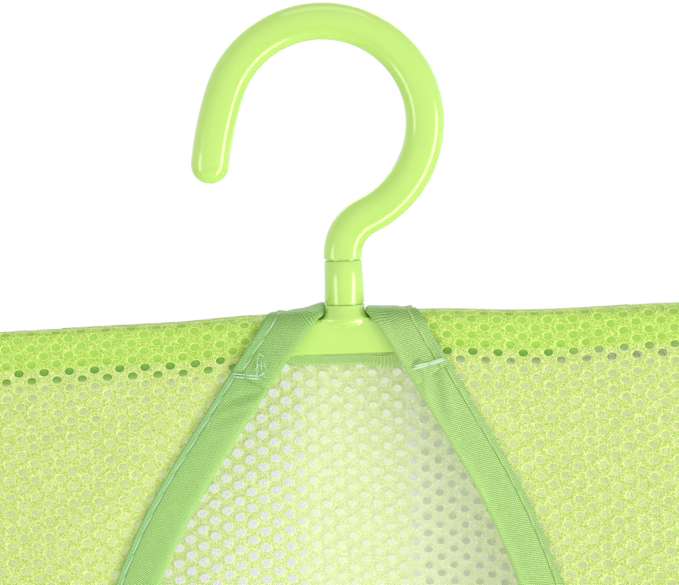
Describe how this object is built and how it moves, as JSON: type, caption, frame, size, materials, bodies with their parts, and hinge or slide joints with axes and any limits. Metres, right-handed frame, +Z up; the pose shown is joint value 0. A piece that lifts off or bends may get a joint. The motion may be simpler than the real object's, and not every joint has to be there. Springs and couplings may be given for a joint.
{
  "type": "hanging mesh organizer",
  "caption": "Net storage bag with a teardrop front mouth bound in folded tape, carried by a straight plastic bar hanger with a round swivel hook.",
  "frame": {"origin": "on the swivel axis, where the inside of the hook's round rests on a rail", "axes": "+Z up along the swivel axis, +X to the right as the mouth is seen, the mouth faces -Y"},
  "size_m": [0.3516, 0.0514, 0.4474],
  "materials": {
    "lime_plastic": "glossy moulded lime plastic",
    "net": "knitted polyester net with oval holes",
    "tape": "plain woven polyester tape"
  },
  "bodies": {
    "hook": {"hook": "lime_plastic"},
    "bag": {"hanger": "lime_plastic", "mesh_front": "net", "mesh_back": "net", "mouth_binding": "tape", "neck_binding": "tape", "left_side_binding": "tape", "right_side_binding": "tape", "bottom_binding": "tape"}
  },
  "joints": [
    {"name": "hook_swivel", "type": "hinge", "parent": "hook", "child": "bag", "pos_m": [0, 0, -0.0583], "axis": [0, 0, 1], "continuous": true}
  ]
}
